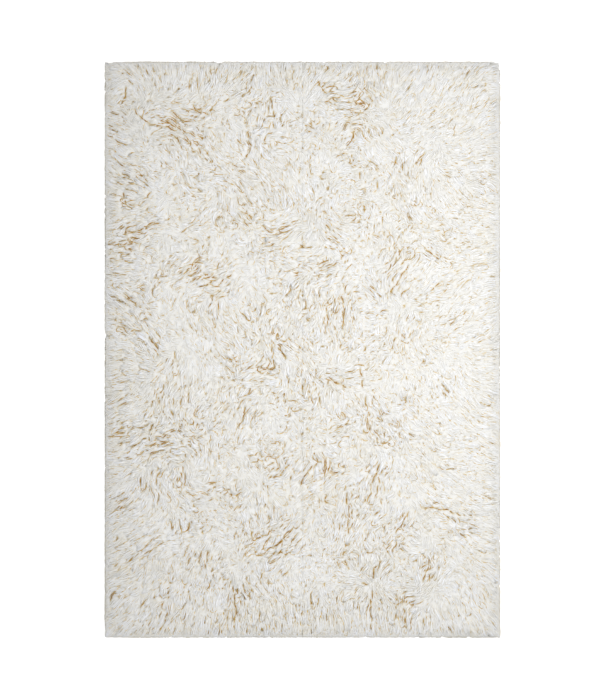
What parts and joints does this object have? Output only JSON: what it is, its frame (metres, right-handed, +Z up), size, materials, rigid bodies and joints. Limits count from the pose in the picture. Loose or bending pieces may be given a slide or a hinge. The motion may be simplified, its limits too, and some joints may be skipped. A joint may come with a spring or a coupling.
{
  "type": "shag rug",
  "caption": "Rectangular long-pile wool shag rug that lies flat on a floor, its locks combed outwards and down over all four edges.",
  "frame": {"origin": "on the floor, under the middle of the rug", "axes": "+Z up out of the pile, +Y along the rug's long side, +X across it"},
  "size_m": [1.4, 2.04, 0.0492],
  "materials": {
    "wool_pile": "ivory wool locks, matt with a soft sheen, warmer and tan down at their roots",
    "ground_cloth": "plain-woven undyed wool, matt"
  },
  "bodies": {
    "root": {"rug": "wool_pile"}
  },
  "joints": []
}
